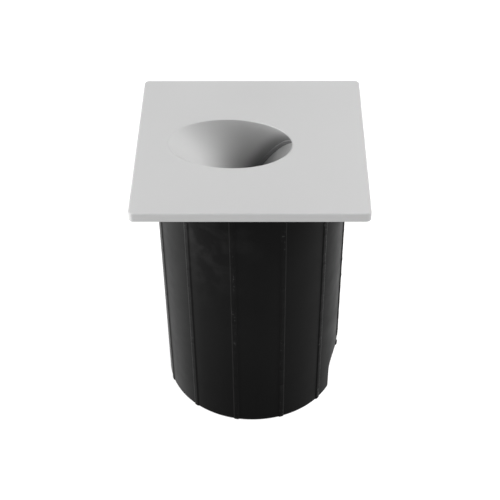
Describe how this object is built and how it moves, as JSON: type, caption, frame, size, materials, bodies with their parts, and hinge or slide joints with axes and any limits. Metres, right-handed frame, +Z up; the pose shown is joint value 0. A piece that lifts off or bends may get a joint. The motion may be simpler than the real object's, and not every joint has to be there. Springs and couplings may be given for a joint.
{
  "type": "recessed marker light",
  "caption": "Square cast face plate with an inclined round light scoop, on a round ribbed installation sleeve with a cable notch; the sealed light head lifts out of the sleeve and turns in it.",
  "frame": {"origin": "centre of the sleeve's foot, on the plane it stands on", "axes": "+Z up, out of the ground; the scoop slopes down towards +X; the cable notch is on the +X side"},
  "size_m": [0.08, 0.08, 0.1065],
  "materials": {
    "plate_paint": "satin",
    "frosted_glass": "frosted",
    "seal_rubber": "matte",
    "silicone": "matte",
    "board_white": "gloss",
    "phosphor": "matte",
    "heat_pad": "matte",
    "alloy": "cast",
    "stainless": "satin",
    "spring_steel": "satin",
    "lead_red": "satin",
    "lead_black": "satin",
    "board_green": "gloss",
    "ferrite": "matte",
    "winding_tape": "satin",
    "capacitor_sleeve": "gloss",
    "fuse_brown": "gloss",
    "chip_black": "matte",
    "terminal_blue": "satin",
    "brass": "satin",
    "gland_nylon": "satin",
    "sleeve_plastic": "satin"
  },
  "bodies": {
    "sleeve": {"sleeve": "sleeve_plastic"},
    "rim_gasket": {"rim_gasket": "seal_rubber"},
    "head": {"face_plate": "plate_paint", "lens_ring": "plate_paint", "lens": "frosted_glass", "lens_seal": "silicone", "led_board": "board_white", "led_emitter": "phosphor", "thermal_pad": "heat_pad", "led_carrier": "alloy", "led_screws": "stainless", "carrier_screws": "stainless", "led_lead_red": "lead_red", "led_lead_black": "lead_black", "rear_housing": "alloy", "housing_seal": "silicone", "housing_screws": "stainless", "driver_board": "board_green", "driver_screws": "stainless", "transformer_core": "ferrite", "transformer_bobbin": "winding_tape", "input_capacitor": "capacitor_sleeve", "output_capacitor": "capacitor_sleeve", "choke": "ferrite", "fuse": "fuse_brown", "bridge_rectifier": "chip_black", "driver_chip": "chip_black", "terminal_block": "terminal_blue", "terminal_screws": "stainless", "earth_screw": "brass", "gland_body": "gland_nylon", "gland_washer": "silicone", "gland_locknut": "gland_nylon", "gland_insert": "seal_rubber", "gland_nut": "gland_nylon", "spring_screws": "stainless"},
    "grip_spring_1": {"grip_spring_1": "spring_steel"},
    "grip_spring_2": {"grip_spring_2": "spring_steel"},
    "grip_spring_3": {"grip_spring_3": "spring_steel"}
  },
  "joints": [
    {"name": "head_swivel", "type": "hinge", "parent": "sleeve", "child": "rim_gasket", "pos_m": [0, 0, 0.102], "axis": [0, 0, 1], "range_deg": [-180, 180]},
    {"name": "head_lift", "type": "slide", "parent": "rim_gasket", "child": "head", "axis": [0, 0, 1], "range_m": [0, 0.09]},
    {"name": "spring_rock_1", "type": "hinge", "parent": "head", "child": "grip_spring_1", "pos_m": [0.02364, 0.01365, 0.088], "axis": [0.5, -0.866, 0], "range_deg": [0, 3.4]},
    {"name": "spring_rock_2", "type": "hinge", "parent": "head", "child": "grip_spring_2", "pos_m": [-0.02364, 0.01365, 0.088], "axis": [0.5, 0.866, 0], "range_deg": [0, 3.4]},
    {"name": "spring_rock_3", "type": "hinge", "parent": "head", "child": "grip_spring_3", "pos_m": [0, -0.0273, 0.088], "axis": [-1, 0, 0], "range_deg": [0, 3.4]}
  ],
  "couplings": [
    {"joint": "spring_rock_1", "follows": "head_lift", "rad_per_m": 0.641},
    {"joint": "spring_rock_2", "follows": "head_lift", "rad_per_m": 0.641},
    {"joint": "spring_rock_3", "follows": "head_lift", "rad_per_m": 0.641}
  ]
}
